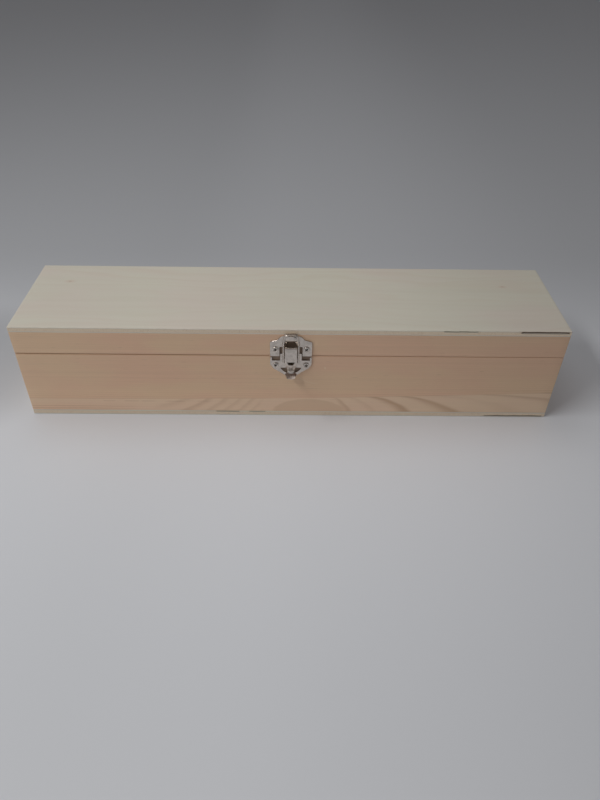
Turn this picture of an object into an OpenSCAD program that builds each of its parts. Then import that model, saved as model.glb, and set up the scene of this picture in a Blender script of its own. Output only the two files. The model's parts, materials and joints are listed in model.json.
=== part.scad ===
// Hinged pine box for one bottle, with plywood top and bottom, a toggle latch in front and two
// butt hinges behind. The origin is the middle of the footprint, on the surface the box stands on.
// X runs along the box, Y from front to back, Z up.

/* [Box] */
// Outside length
box_l = 420; // [340:1:520]
// Outside depth, front to back
box_d = 96; // [80:1:130]
// Outside height with the lid closed
box_h = 84; // [70:1:120]
// Height of the lid, from the rim of the box to the top
lid_h = 24; // [22:1:40]
// Thickness of the solid boards
board_t = 7; // [6:0.5:10]
// Thickness of the plywood panels
panel_t = 4.5; // [3:0.5:6]
// Gap that the hinges leave between lid and rim
lid_gap = 0.3; // [0.2:0.1:0.6]

/* [Latch plates] */
// Sheet thickness of the two plates
plate_t = 1.2; // [0.8:0.1:1.6]
// Width of both plates
plate_w = 32; // [29:0.5:40]
// Width of the tongue of the base plate that carries the lever
bridge_w = 16.6; // [15:0.1:17.4]
// Gap between the two plates
plate_gap = 0.4; // [0.2:0.1:0.8]
// Distance between the screws of one plate
screw_span = 23.6; // [22.6:0.1:25]

/* [Latch lever] */
// Thickness of the lever's sheet
lever_t = 0.8; // [0.6:0.1:1]
// Width across the lever's cheeks
lever_w = 9.2; // [8.6:0.1:9.6]
// How far the lever pivot stands off the box
pivot_off = 4.2; // [4:0.1:5]
// Height of the lever pivot above the rim
pivot_rise = 9.2; // [8.6:0.1:10]
// Distance from the lever pivot down to the bail pivot
crank = 12.5; // [11.5:0.1:13.5]
// Radius of the lever pin
pin_r = 0.9; // [0.7:0.05:1]
// Running clearance round pins, on the radius
run_fit = 0.05; // [0.03:0.01:0.08]

/* [Latch bail] */
// Radius of the bail's wire
wire_r = 0.8; // [0.6:0.05:0.9]
// Height of the bail's cross bar above the rim
bar_rise = 20; // [19:0.1:21]
// How far the cross bar stands off the box
bar_off = 2.4; // [2.2:0.1:2.6]
// Width of the bail's top, between wire centres
bail_top_w = 9.2; // [8.8:0.1:10]

/* [Hinges] */
// Length of a hinge along the box
hinge_l = 26; // [20:1:40]
// Height of one leaf, from the pin
leaf_h = 11; // [9:0.5:14]
// Leaf thickness
leaf_t = 1; // [0.8:0.1:1.4]
// Outer radius of the knuckles
knuckle_r = 2.3; // [2:0.1:3]
// Radius of the hinge pin
hinge_pin_r = 1.1; // [0.9:0.05:1.3]
// Distance from an end of the box to the middle of its hinge
hinge_inset = 70; // [40:1:110]

/* [Screws] */
// Radius of a latch screw's head
head_r = 2.4; // [2:0.1:2.7]
// Radius of a latch screw's shank
shank_r = 1.1; // [0.9:0.05:1.3]
// Depth of a latch screw in the wood
shank_l = 5; // [3:0.5:5.5]
// Radius of a hinge screw's head
flat_head_r = 1.9; // [1.6:0.1:2.2]
// Radius of a hinge screw's shank
flat_shank_r = 1; // [0.8:0.05:1.1]

/* [Hidden] */
$fn = 64;
EPS = 0.01;
rim_h = box_h - lid_h;
front_y = -box_d / 2;
back_y = box_d / 2;
wall_h = rim_h - panel_t;
lid_z = rim_h + lid_gap;
rail_h = box_h - panel_t - lid_z;
inner_d = box_d - 2 * board_t;
// Pilot holes are this much larger than the screw on the radius, and this much deeper
pilot_fit = 0.05;
pilot_spare = 0.3;
// Gaps between pieces that pass each other, and between pieces that nearly touch
side_gap = 0.3;
near_gap = 0.2;

// Latch plates, as half widths and as heights above the rim
hook_z0 = plate_gap;
base_z1 = -plate_gap;
half_w = plate_w / 2;
bridge_half = bridge_w / 2;
bridge_top = 3;
notch_half = bridge_half + plate_gap;
notch_top = 9;
slot_bottom = -3.4;
horn_w = 1.5;
hump_half = 4.6;
hump_top = bar_rise + wire_r;
shoulder_z = 15;
base_bottom = -17.4;
screw_up = 6.9;
screw_down = -7.8;
window_half = 3.6;
window_top = 13.9;
thumb_window_r = 8.8;
thumb_window_z = -6.8;
thumb_window_top = -10.4;
hook_half = 3.2;
hook_tip_half = 4.2;
hook_t = 0.8;
// Distance of the upturned end of the hook off the box, to the middle of its sheet
hook_face = bar_off + wire_r + near_gap + hook_t / 2;

// Lever pivot, bail pivot and cross bar, as [distance off the box, height above the rim]
pivot = [pivot_off, pivot_rise];
bail_pivot = [pivot_off - near_gap, pivot_rise - crank];
bar = [bar_off, bar_rise];
cheek_t = 1;
lever_half = lever_w / 2;
ear_t = 1;
ear_half = lever_half - cheek_t - side_gap;
ear_r = 1.7;
lever_in = pivot_off + ear_r + near_gap;
lever_mid = lever_in + lever_t / 2;
arm_half = lever_half + side_gap + wire_r;
bail_l = norm(bar - bail_pivot);
bail_tilt = atan((bail_pivot[0] - bar[0]) / (bar[1] - bail_pivot[1]));
// The balls in the wire's bends are this much fatter than the wire, on the radius
joint_swell = 0.08;
// Length over which the arms draw in towards the cross bar
neck_l = 8.4;

// Hinges
hinge_y = back_y + knuckle_r + near_gap;
hinge_z = rim_h + lid_gap / 2;
knuckle_l = hinge_l / 3;
// Gap between neighbouring knuckles is twice this
knuckle_fit = 0.05;
hinge_x = box_l / 2 - hinge_inset;
leaf_clear = knuckle_r + side_gap;
leaf_screw_inset = 4;
leaf_screw_x = hinge_l / 2 - leaf_screw_inset;
leaf_screw_z = leaf_h - leaf_screw_inset;

// Screws: a head's straight rim and its dome, and the two crossed slots of its recess
head_rim = 0.3;
head_dome = 1.1;
slot_l = 2.8;
slot_w = 0.6;
slot_depth = 0.5;
flat_head_h = 0.9;
flat_shank_l = 5;
flat_slot_l = 2.2;
flat_slot_w = 0.4;
flat_slot_depth = 0.4;

// Points of an outline whose corners [x, y, radius] are rounded with arcs
function corner(a, b, c) =
    let (u = (a - b) / norm(a - b), v = (c - b) / norm(c - b))
    let (half = acos(max(-1, min(1, u * v))) / 2)
    [u, v, half];
function round_corner(a, b, c, r) =
    r <= 0 ? [b] :
    let (k = corner(a, b, c), reach = r / tan(k[2]))
    let (p = b + k[0] * reach, q = b + k[1] * reach)
    let (mid = b + (k[0] + k[1]) / norm(k[0] + k[1]) * r / sin(k[2]))
    let (turn = 180 - 2 * k[2], n = max(2, ceil(turn / 15)))
    let (s = p - mid, side = sign(s[0] * (q - mid)[1] - s[1] * (q - mid)[0]))
    [for (i = [0 : n]) let (w = side * turn * i / n)
        mid + [s[0] * cos(w) - s[1] * sin(w), s[0] * sin(w) + s[1] * cos(w)]];
function xy(p) = [p[0], p[1]];
function rounded(corners) =
    let (n = len(corners))
    [for (i = [0 : n - 1])
        each round_corner(xy(corners[(i + n - 1) % n]), xy(corners[i]), xy(corners[(i + 1) % n]),
            corners[i][2])];
// A right half outline and its mirror image, as one outline
function both_sides(right) =
    concat(right, [for (i = [len(right) - 1 : -1 : 0]) [-right[i][0], right[i][1], right[i][2]]]);

// A strip of sheet that follows a path, as an outline of thickness t
function side_of(path, i) =
    let (a = path[max(i - 1, 0)], b = path[min(i + 1, len(path) - 1)], d = (b - a) / norm(b - a))
    [-d[1], d[0]];
function strip(path, t) = concat(
    [for (i = [0 : len(path) - 1]) path[i] + side_of(path, i) * t / 2],
    [for (i = [len(path) - 1 : -1 : 0]) path[i] - side_of(path, i) * t / 2]);
// A smooth curve through a control polygon of four points
function bezier(a, b, c, d, n) = [for (i = [0 : n]) let (t = i / n, s = 1 - t)
    s * s * s * a + 3 * s * s * t * b + 3 * s * t * t * c + t * t * t * d];

// Places a drawing of the front, [x, height above the rim], on the front of the box
module on_front(off, t) {
    translate([0, front_y - off, rim_h]) rotate([90, 0, 0]) linear_extrude(height = t) children();
}
// Places a drawing of the side, [distance off the box, height above the rim], from x0 to x1
module on_side(x0, x1) {
    translate([x0, front_y, rim_h]) rotate([90, 0, -90]) mirror([0, 0, 1])
        linear_extrude(height = x1 - x0) children();
}
// A round bar along X at [distance off the box, height above the rim]
module cross_bar(at, r, x0, x1) {
    translate([x0, front_y - at[0], rim_h + at[1]]) rotate([0, 90, 0]) cylinder(r = r, h = x1 - x0);
}

module board(x0, y0, z0, lx, ly, lz) {
    translate([x0, y0, z0]) cube([lx, ly, lz]);
}
// Pilot holes for the two screws of a latch plate, in the board behind it
module latch_pilots(z) {
    for (s = [-1, 1]) translate([s * screw_span / 2, front_y - EPS, rim_h + z]) rotate([-90, 0, 0])
        cylinder(r = shank_r + pilot_fit, h = shank_l + pilot_spare);
}
// Pilot holes for the screws of both hinges; side is 1 for the lid and -1 for the box
module hinge_pilots(side) {
    for (h = [-1, 1]) for (s = [-1, 1])
        translate([h * hinge_x + s * leaf_screw_x, back_y + EPS, hinge_z + side * leaf_screw_z])
            rotate([90, 0, 0]) cylinder(r = flat_shank_r + pilot_fit, h = flat_shank_l + pilot_spare);
}

module bottom_panel() {
    color("wheat") board(-box_l / 2, front_y, 0, box_l, box_d, panel_t);
}
module front_board() {
    color("burlywood") difference() {
        board(-box_l / 2, front_y, panel_t, box_l, board_t, wall_h);
        latch_pilots(screw_down);
    }
}
module back_board() {
    color("burlywood") difference() {
        board(-box_l / 2, back_y - board_t, panel_t, box_l, board_t, wall_h);
        hinge_pilots(-1);
    }
}
module left_end_board() {
    color("burlywood") board(-box_l / 2, -inner_d / 2, panel_t, board_t, inner_d, wall_h);
}
module right_end_board() {
    color("burlywood") board(box_l / 2 - board_t, -inner_d / 2, panel_t, board_t, inner_d, wall_h);
}
module lid_top_panel() {
    color("wheat") board(-box_l / 2, front_y, box_h - panel_t, box_l, box_d, panel_t);
}
module lid_front_rail() {
    color("burlywood") difference() {
        board(-box_l / 2, front_y, lid_z, box_l, board_t, rail_h);
        latch_pilots(screw_up);
    }
}
module lid_back_rail() {
    color("burlywood") difference() {
        board(-box_l / 2, back_y - board_t, lid_z, box_l, board_t, rail_h);
        hinge_pilots(1);
    }
}
module lid_left_rail() {
    color("burlywood") board(-box_l / 2, -inner_d / 2, lid_z, board_t, inner_d, rail_h);
}
module lid_right_rail() {
    color("burlywood") board(box_l / 2 - board_t, -inner_d / 2, lid_z, board_t, inner_d, rail_h);
}

// Ear of the base plate, which holds one end of the lever pin
module ear(x0, x1) {
    foot_z = -2;
    // The straight edges meet the round end at this angle below its middle
    lean = 37;
    reach = ear_r * [cos(lean), -sin(lean)];
    on_side(x0, x1) {
        translate(pivot) circle(r = ear_r);
        polygon([
            [plate_t - EPS, foot_z], pivot + reach,
            pivot + [-reach[0], reach[1]], [plate_t - EPS, bridge_top]
        ]);
    }
}
module latch_base_plate() {
    // Right half, as [x, height above the rim, corner radius]
    outline = both_sides([
        [bridge_half, bridge_top, 0.8], [bridge_half, slot_bottom, 0.4],
        [half_w - horn_w, slot_bottom, 0.4], [half_w - horn_w, base_z1, 0.3], [half_w, base_z1, 0.3],
        [half_w, base_bottom + 10.2, 2.5], [half_w - 2.7, base_bottom + 6, 2],
        [half_w / 2 + 0.5, base_bottom + 2.9, 1.5], [5.2, base_bottom + 0.2, 1], [2, base_bottom, 1]
    ]);
    color("silver") difference() {
        union() {
            on_front(0, plate_t) difference() {
                polygon(rounded(outline));
                intersection() {
                    translate([0, thumb_window_z]) circle(r = thumb_window_r);
                    translate([-half_w, base_bottom]) square([plate_w, thumb_window_top - base_bottom]);
                }
            }
            ear(ear_half - ear_t, ear_half);
            ear(-ear_half, ear_t - ear_half);
        }
        cross_bar(pivot, pin_r + run_fit, -ear_half - 1, ear_half + 1);
        plate_screw_holes(screw_down);
    }
}
module latch_hook_plate() {
    // Right halves, as [x, height above the rim, corner radius]
    outline = both_sides([
        [half_w, hook_z0, 0.6], [half_w, shoulder_z - 1.4, 1.4],
        [10.2, shoulder_z + 0.3, 0.8], [8.4, shoulder_z + 2.7, 1.6], [hump_half + 0.6, hump_top - 1.6, 1],
        [hump_half - 0.4, hump_top, 1.2]
    ]);
    notch = both_sides([
        [notch_half, hook_z0 - 1, 0], [notch_half, notch_top, 0.6],
        [window_half, notch_top, 0.4], [window_half - 0.5, window_top, 0.5]
    ]);
    // The hook leaves the top of the window, runs out under the cross bar and turns up in front of it
    curl = bezier([plate_t / 2, window_top + 0.3], [plate_t + 2.6, window_top + 0.6],
        [hook_face, window_top + 2.6], [hook_face, hump_top - 0.6], 10);
    color("silver") difference() {
        union() {
            on_front(0, plate_t) difference() {
                polygon(rounded(outline));
                polygon(rounded(notch));
            }
            intersection() {
                on_side(-hook_tip_half, hook_tip_half) polygon(strip(curl, hook_t));
                on_front(0, hook_face + hook_t) polygon(rounded(both_sides([
                    [hook_half, window_top, 0], [hook_half, window_top + 2, 0],
                    [hook_tip_half, window_top + 3.6, 1], [hook_tip_half - 1, hump_top, 0]
                ])));
            }
        }
        plate_screw_holes(screw_up);
    }
}
module plate_screw_holes(z) {
    for (s = [-1, 1]) translate([s * screw_span / 2, front_y + EPS, rim_h + z]) rotate([90, 0, 0])
        cylinder(r = shank_r + pilot_fit, h = plate_t + 1);
}
// Round headed screw, with the underside of its head at the origin and its shank along +Y
module round_screw() {
    whole_l = plate_t + shank_l;
    rotate([-90, 0, 0]) rotate_extrude() polygon(concat(
        [[0, whole_l], [shank_r, whole_l - shank_r], [shank_r, 0], [head_r, 0]],
        [for (w = [0 : 15 : 90]) [head_r * cos(w), -head_rim - head_dome * sin(w)]]));
}
// Crossed slots of length l and width w, cut from the height z upwards and turned about Z
module cross_recess(l, w, z, turn) {
    for (t = [turn, turn + 90]) rotate([0, 0, t]) translate([-l / 2, -w / 2, z]) cube([l, w, 1]);
}
module latch_screws(z) {
    color("gainsboro") for (s = [-1, 1])
        translate([s * screw_span / 2, front_y - plate_t, rim_h + z]) difference() {
            round_screw();
            rotate([90, 0, 0]) cross_recess(slot_l, slot_w, head_rim + head_dome - slot_depth, 20);
        }
}
module latch_base_screws() { latch_screws(screw_down); }
module latch_hook_screws() { latch_screws(screw_up); }

module latch_lever_pin() {
    color("gainsboro") cross_bar(pivot, pin_r, -lever_half - 0.1, lever_half + 0.1);
}

module latch_lever() {
    top = [lever_mid, pivot[1] + 0.6];
    flat_end = [lever_mid, -1.2];
    heel = [pivot[0] + 0.1, -13];
    toe = [lever_mid + 1.4, -16.2];
    roll_r = lever_mid - pivot[0];
    roll = [for (i = [0 : 5]) pivot + roll_r * [cos(70 - 14 * i), sin(70 - 14 * i)]];
    path = concat(roll, bezier(flat_end, flat_end + [0, -5], heel + [-0.6, 3.4], heel, 8),
        bezier(heel + [0.1, -0.5], heel + [0.4, -1.8], toe + [-1.6, 0.9], toe, 5));
    color("silver") difference() {
        union() {
            intersection() {
                on_side(-lever_half, lever_half) polygon(strip(path, lever_t));
                on_front(0, 12) difference() {
                    polygon(rounded(both_sides([
                        [lever_half, pivot[1] + 4, 0], [lever_half, -1.6, 0.6], [3.6, -4.6, 1],
                        [3.4, -11, 1], [lever_half, -13, 0.8], [2.2, -17.4, 1.2]
                    ])));
                    polygon(rounded(both_sides([[3, -1.5, 0.4], [1.8, -4, 0.5]])));
                }
            }
            cheek(lever_half - cheek_t, lever_half);
            cheek(-lever_half, cheek_t - lever_half);
        }
        cross_bar(pivot, pin_r + run_fit, -lever_half - 1, lever_half + 1);
        cross_bar(bail_pivot, wire_r + run_fit, -lever_half - 1, lever_half + 1);
    }
}
// Side cheek of the lever, between its two pivots
module cheek(x0, x1) {
    on_side(x0, x1) {
        translate(pivot) circle(r = ear_r + side_gap);
        translate(bail_pivot) circle(r = wire_r + 1);
        polygon([
            [pivot[0] - 1, pivot[1] - 1.5], [lever_in + EPS, pivot[1]],
            [lever_in + EPS, -1], [bail_pivot[0] + 1.2, bail_pivot[1] - 1.2],
            [bail_pivot[0] - 1.4, bail_pivot[1] + 1], [bail_pivot[0] - 0.8, bail_pivot[1] + 4]
        ]);
    }
}

// Round wire along a flat path in the plane z = 0, with a ball at each bend
module wire(path, r) {
    for (i = [0 : len(path) - 2]) {
        d = path[i + 1] - path[i];
        translate(path[i]) rotate([0, 90, atan2(d[1], d[0])]) cylinder(r = r, h = norm(d));
    }
    for (i = [1 : len(path) - 2]) translate(path[i]) sphere(r = r + joint_swell);
}
module latch_bail() {
    top_half = bail_top_w / 2;
    right = [
        [ear_half + 0.4, 0], [arm_half, 0], [arm_half, bail_l - neck_l], [top_half, bail_l]
    ];
    left = [for (i = [len(right) - 1 : -1 : 0]) [-right[i][0], right[i][1]]];
    color("silver") translate([0, front_y - bail_pivot[0], rim_h + bail_pivot[1]])
        rotate([90 - bail_tilt, 0, 0]) wire(concat(right, left), wire_r);
}

// One leaf of a butt hinge, drawn about its pin: side is 1 for the lid and -1 for the box.
// The box leaf has the two outer knuckles, the lid leaf has the middle one.
module leaf(side) {
    middle = side > 0;
    own = middle ? [[-knuckle_l / 2, knuckle_l / 2]] :
        [[-hinge_l / 2, -knuckle_l / 2], [knuckle_l / 2, hinge_l / 2]];
    seat = back_y - hinge_y;
    difference() {
        union() {
            for (span = own) {
                a = span[0] + (abs(span[0]) < hinge_l / 2 ? knuckle_fit : 0);
                b = span[1] - (abs(span[1]) < hinge_l / 2 ? knuckle_fit : 0);
                translate([a, 0, 0]) rotate([0, 90, 0]) cylinder(r = knuckle_r, h = b - a);
                translate([a, seat, min(0, side * leaf_h)]) cube([b - a, leaf_t, leaf_h]);
            }
            translate([-hinge_l / 2, seat, side > 0 ? leaf_clear : -leaf_h])
                cube([hinge_l, leaf_t, leaf_h - leaf_clear]);
        }
        translate([-hinge_l, 0, 0]) rotate([0, 90, 0])
            cylinder(r = hinge_pin_r + run_fit, h = 2 * hinge_l);
        for (s = [-1, 1]) translate([s * leaf_screw_x, seat, side * leaf_screw_z])
            rotate([-90, 0, 0]) countersunk(pilot_fit, 1);
    }
}
// A countersunk screw in a leaf, or with fit above 0 the hole that it sits in: the shank reaches
// down by shank_depth from the back of the leaf
module countersunk(fit, shank_depth) {
    translate([0, 0, -shank_depth]) cylinder(r = flat_shank_r + fit, h = shank_depth + leaf_t);
    translate([0, 0, leaf_t - flat_head_h])
        cylinder(r1 = flat_shank_r + fit, r2 = flat_head_r + fit, h = flat_head_h + (fit > 0 ? EPS : 0));
}
module flat_screw() {
    rotate([-90, 0, 0]) difference() {
        countersunk(0, flat_shank_l);
        cross_recess(flat_slot_l, flat_slot_w, leaf_t - flat_slot_depth, 30);
    }
}
module hinge_leaf(h, side) {
    color("silver") translate([h * hinge_x, hinge_y, hinge_z]) leaf(side);
}
module hinge_pin(h) {
    color("gainsboro") translate([h * hinge_x - hinge_l / 2, hinge_y, hinge_z]) rotate([0, 90, 0])
        cylinder(r = hinge_pin_r, h = hinge_l);
}
module hinge_screws(h, side) {
    color("gainsboro") for (s = [-1, 1])
        translate([h * hinge_x + s * leaf_screw_x, back_y, hinge_z + side * leaf_screw_z]) flat_screw();
}
module hinge_left_box_leaf() { hinge_leaf(-1, -1); }
module hinge_left_lid_leaf() { hinge_leaf(-1, 1); }
module hinge_left_pin() { hinge_pin(-1); }
module hinge_left_box_screws() { hinge_screws(-1, -1); }
module hinge_left_lid_screws() { hinge_screws(-1, 1); }
module hinge_right_box_leaf() { hinge_leaf(1, -1); }
module hinge_right_lid_leaf() { hinge_leaf(1, 1); }
module hinge_right_pin() { hinge_pin(1); }
module hinge_right_box_screws() { hinge_screws(1, -1); }
module hinge_right_lid_screws() { hinge_screws(1, 1); }

bottom_panel();
front_board();
back_board();
left_end_board();
right_end_board();
lid_top_panel();
lid_front_rail();
lid_back_rail();
lid_left_rail();
lid_right_rail();
latch_base_plate();
latch_base_screws();
latch_hook_plate();
latch_hook_screws();
latch_lever_pin();
latch_lever();
latch_bail();
hinge_left_box_leaf();
hinge_left_lid_leaf();
hinge_left_pin();
hinge_left_box_screws();
hinge_left_lid_screws();
hinge_right_box_leaf();
hinge_right_lid_leaf();
hinge_right_pin();
hinge_right_box_screws();
hinge_right_lid_screws();
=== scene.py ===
"""Looks of a hinged pine box for one bottle, with plywood top and bottom, a toggle latch and two hinges.

Lengths in the shapes are millimetres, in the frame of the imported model: X along the box, Y from front to
back, Z up. A material's patterns are in millimetres too, from Object coordinates.
"""

import json
import math

import bmesh
import bpy
import numpy as np
from bpy.props import FloatProperty, FloatVectorProperty, PointerProperty
from mathutils import Matrix, Vector
from mathutils.geometry import tessellate_polygon


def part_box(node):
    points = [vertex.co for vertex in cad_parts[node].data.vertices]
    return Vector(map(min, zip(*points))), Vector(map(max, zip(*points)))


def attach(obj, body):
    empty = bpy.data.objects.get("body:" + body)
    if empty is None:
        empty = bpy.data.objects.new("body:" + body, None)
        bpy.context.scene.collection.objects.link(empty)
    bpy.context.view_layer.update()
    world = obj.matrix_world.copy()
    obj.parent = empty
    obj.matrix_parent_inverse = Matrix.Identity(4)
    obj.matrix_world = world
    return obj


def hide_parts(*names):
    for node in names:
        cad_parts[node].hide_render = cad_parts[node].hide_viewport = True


bl_info = {
    "name": "Hinged Pine Bottle Box",
    "version": (1, 0, 0),
    "blender": (4, 5, 0),
    "location": "View3D > Sidebar > Bottle Box",
    "description": "Builds a pine box with a toggle latch around its packed model",
    "category": "Add Mesh",
}

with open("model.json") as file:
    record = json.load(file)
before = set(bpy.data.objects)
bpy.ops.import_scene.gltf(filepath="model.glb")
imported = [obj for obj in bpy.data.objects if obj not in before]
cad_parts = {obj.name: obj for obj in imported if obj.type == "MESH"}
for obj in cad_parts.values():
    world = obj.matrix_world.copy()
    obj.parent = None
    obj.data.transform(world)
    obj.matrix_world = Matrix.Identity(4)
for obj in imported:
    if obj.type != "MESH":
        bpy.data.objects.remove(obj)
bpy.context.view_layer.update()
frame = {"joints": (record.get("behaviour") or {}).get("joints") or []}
TO_MM = 1000.0


def node_box(node):
    """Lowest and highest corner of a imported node, in millimetres."""
    low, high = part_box(node)
    return np.array(low) * TO_MM, np.array(high) * TO_MM


FRONT_Y = float(node_box("front_board")[0][1])
BACK_Y = float(node_box("back_board")[1][1])
RIM_Z = float(node_box("front_board")[1][2])
LID_Z = float(node_box("lid_front_rail")[0][2])
HALF_LENGTH = float(node_box("front_board")[1][0])
JOINTS = {j["name"]: np.array(j["pos_m"]) * TO_MM for j in frame["joints"]}


# Sizes and colours that a user would change


class BoxSizes(bpy.types.PropertyGroup):
    edge: FloatProperty(
        name="Edge", description="Rounding of the boards' edges, in millimetres",
        default=0.45, min=0.1, max=1.5,
    )
    seam_edge: FloatProperty(
        name="Seam edge", description="Rounding beside the seam at the left end, in millimetres",
        default=0.75, min=0.1, max=1.5,
    )
    veneer: FloatProperty(
        name="Veneer", description="Thickness of the plywood's face veneers, in millimetres",
        default=0.9, min=0.4, max=1.4,
    )
    ring_gap: FloatProperty(
        name="Ring gap", description="Spread of the arcs along the foot of the front, 2.3 as photographed",
        default=2.3, min=0.8, max=5,
    )
    fine_gap: FloatProperty(
        name="Fine ring gap", description="Width of a growth ring in the straight grain, in millimetres",
        default=2.1, min=0.6, max=5,
    )


class BoxColours(bpy.types.PropertyGroup):
    pine: FloatVectorProperty(
        name="Pine", description="Early wood of the boards", subtype="COLOR", default=(0.78, 0.56, 0.375)
    )
    pine_pink: FloatVectorProperty(
        name="Pink pine", description="Pinkish areas of the boards", subtype="COLOR",
        default=(0.78, 0.525, 0.365),
    )
    late: FloatVectorProperty(
        name="Late wood", description="Dark part of a growth ring", subtype="COLOR",
        default=(0.43, 0.235, 0.12),
    )
    veneer: FloatVectorProperty(
        name="Face veneer", description="Top and bottom veneers of the plywood", subtype="COLOR",
        default=(0.68, 0.66, 0.565),
    )
    core: FloatVectorProperty(
        name="Plywood core", description="Cross ply, seen on end", subtype="COLOR",
        default=(0.80, 0.66, 0.49),
    )
    nickel: FloatVectorProperty(
        name="Nickel", description="Plated latch and hinges", subtype="COLOR", default=(0.66, 0.60, 0.545)
    )
    screw: FloatVectorProperty(
        name="Screw steel", description="Plated screws and pins", subtype="COLOR", default=(0.66, 0.61, 0.56)
    )
    floor: FloatVectorProperty(
        name="Floor", description="Pale floor", subtype="COLOR", default=(0.74, 0.77, 0.82)
    )


def sizes():
    return bpy.context.scene.bottle_box_sizes


def colours():
    return bpy.context.scene.bottle_box_colours


# Shapes: points in millimetres and faces as index arrays


def grid_faces(rows, columns, closed_columns=False):
    """Quads between neighbouring points of a grid, whose last column may join its first."""
    i = np.arange(rows - 1)[:, None] * columns
    j = np.arange(columns if closed_columns else columns - 1)[None, :]
    beside = (j + 1) % columns
    corners = (i + j, i + beside, i + columns + beside, i + columns + j)
    return np.stack(np.broadcast_arrays(*corners), -1).reshape(-1, 4)


class Shape:
    """Closed shells gathered into one piece."""

    def __init__(self):
        self.points, self.faces, self.smooth, self.marks, self.count = [], [], [], [], 0

    def add(self, points, *groups, mark=0.0):
        """Adds one shell; a group is (faces, smooth). mark is a number from 0 to 1 for each point."""
        points = np.asarray(points, float).reshape(-1, 3)
        for corners, smooth in groups:
            self.faces += (corners + self.count).tolist()
            self.smooth += np.broadcast_to(smooth, len(corners)).tolist()
        self.points.append(points)
        self.marks.append(np.broadcast_to(mark, len(points)))
        self.count += len(points)
        return self

    def build(self, name, sharp=50):
        """The mesh object, in metres: faces turned outwards, and edges sharper than the angle crisp."""
        mesh = bpy.data.meshes.new(name)
        mesh.from_pydata(np.concatenate(self.points) / TO_MM, [], self.faces)
        mesh.polygons.foreach_set("use_smooth", self.smooth)
        shells = bmesh.new()
        shells.from_mesh(mesh)
        bmesh.ops.recalc_face_normals(shells, faces=shells.faces)
        shells.to_mesh(mesh)
        shells.free()
        mesh.set_sharp_from_angle(angle=math.radians(sharp))
        mark = mesh.attributes.new("mark", "FLOAT", "POINT")
        mark.data.foreach_set("value", np.concatenate(self.marks))
        mesh.validate()
        piece = bpy.data.objects.new(name, mesh)
        bpy.context.scene.collection.objects.link(piece)
        return piece


def slab(low, high, edge, step=(3.0, 3.0, 3.0), relief=None):
    """Board with rounded edges along X: a rounded rectangle in YZ is carried along X.

    The outline is core + radius * normal, where core runs round the rectangle drawn in by the edge radius.
    At the two ends they follow a quarter circle: x = end + edge * (1 - cos t), radius = edge * sin t.
    relief(points) may return moved points.
    """
    low, high = np.asarray(low, float), np.asarray(high, float)
    middle, half = (low + high) / 2, (high - low) / 2
    core, normal = rounded_rectangle(half[1:] - edge, (step[1], step[2]))
    turn = np.radians([12, 35, 62, 90])
    run = np.linspace(low[0] + edge, high[0] - edge, max(2, round(2 * half[0] / step[0])))
    inset, growth = edge * (1 - np.cos(turn[:-1])), edge * np.sin(turn[:-1])
    x = np.concatenate([low[0] + inset, run, high[0] - inset[::-1]])
    radius = np.concatenate([growth, np.full(len(run), edge), growth[::-1]])
    across = middle[1:] + core[None] + radius[:, None, None] * normal[None]
    points = np.concatenate([np.broadcast_to(x[:, None, None], (*across.shape[:2], 1)), across], -1)
    if relief is not None:
        points = relief(points)
    rows, columns = points.shape[:2]
    sides = grid_faces(rows, columns, closed_columns=True)
    row, column = sides[:, 0] // columns, sides[:, 0] % columns
    flat = np.linalg.norm(normal - np.roll(normal, -1, 0), axis=1) < 0.1
    rounding = ~flat[column] | (row < len(turn) - 1) | (row >= rows - len(turn))
    ends = np.array([np.arange(columns)[::-1], (rows - 1) * columns + np.arange(columns)])
    return points, (sides, rounding), (ends, False)


def rounded_rectangle(half, step):
    """Core points and unit normals round a rectangle with quarter circle corners of any radius."""
    core, normal = [], []
    corners = [(1, 1, 0), (-1, 1, 90), (-1, -1, 180), (1, -1, 270)]
    for k, (sa, sb, start) in enumerate(corners):
        arc = np.radians(start + np.array([0, 22.5, 45, 67.5, 90]))
        corner = np.array([sa * half[0], sb * half[1]])
        following = np.array(corners[(k + 1) % 4][:2]) * half
        core += [corner] * len(arc)
        normal += list(np.stack([np.cos(arc), np.sin(arc)], -1))
        length = np.linalg.norm(following - corner)
        pieces = max(1, round(length / step[k % 2]))
        share = np.arange(1, pieces)[:, None] / pieces
        core += list(corner + (following - corner) * share)
        normal += [normal[-1]] * len(share)
    return np.array(core), np.array(normal)


def turned(points, *groups):
    """The same shell with X and Y swapped, for boards that run from front to back."""
    return (points[..., [1, 0, 2]], *groups)


def rounded(corners, steps=6, closed=True):
    """Outline whose corners (x, y, radius) are drawn as arcs tangent to both sides.

    Each arc turns about its centre from one tangent point to the other. An open outline starts and ends at
    its first and last corner.
    """
    corners = np.array(corners, float)
    if closed:
        corners = np.concatenate([corners[-1:], corners, corners[:1]])
    at, radius = corners[1:-1, :2], np.maximum(corners[1:-1, 2], 0.02)
    before, after = corners[:-2, :2] - at, corners[2:, :2] - at
    u = before / np.linalg.norm(before, axis=1)[:, None]
    v = after / np.linalg.norm(after, axis=1)[:, None]
    half = np.arccos(np.clip(np.sum(u * v, 1), -1, 1)) / 2
    reach = (radius / np.tan(half))[:, None]
    bisector = (u + v) / np.linalg.norm(u + v, axis=1)[:, None]
    centre = at + bisector * (radius / np.sin(half))[:, None]
    t = np.linspace(0, 1, steps)[None, :, None]
    first, last = (at + u * reach - centre)[:, None], (at + v * reach - centre)[:, None]
    turn = (math.pi - 2 * half)[:, None, None]
    arc = centre[:, None] + (first * np.sin((1 - t) * turn) + last * np.sin(t * turn)) / np.sin(turn)
    outline = arc.reshape(-1, 2)
    return outline if closed else np.concatenate([corners[:1, :2], outline, corners[-1:, :2]])


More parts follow.
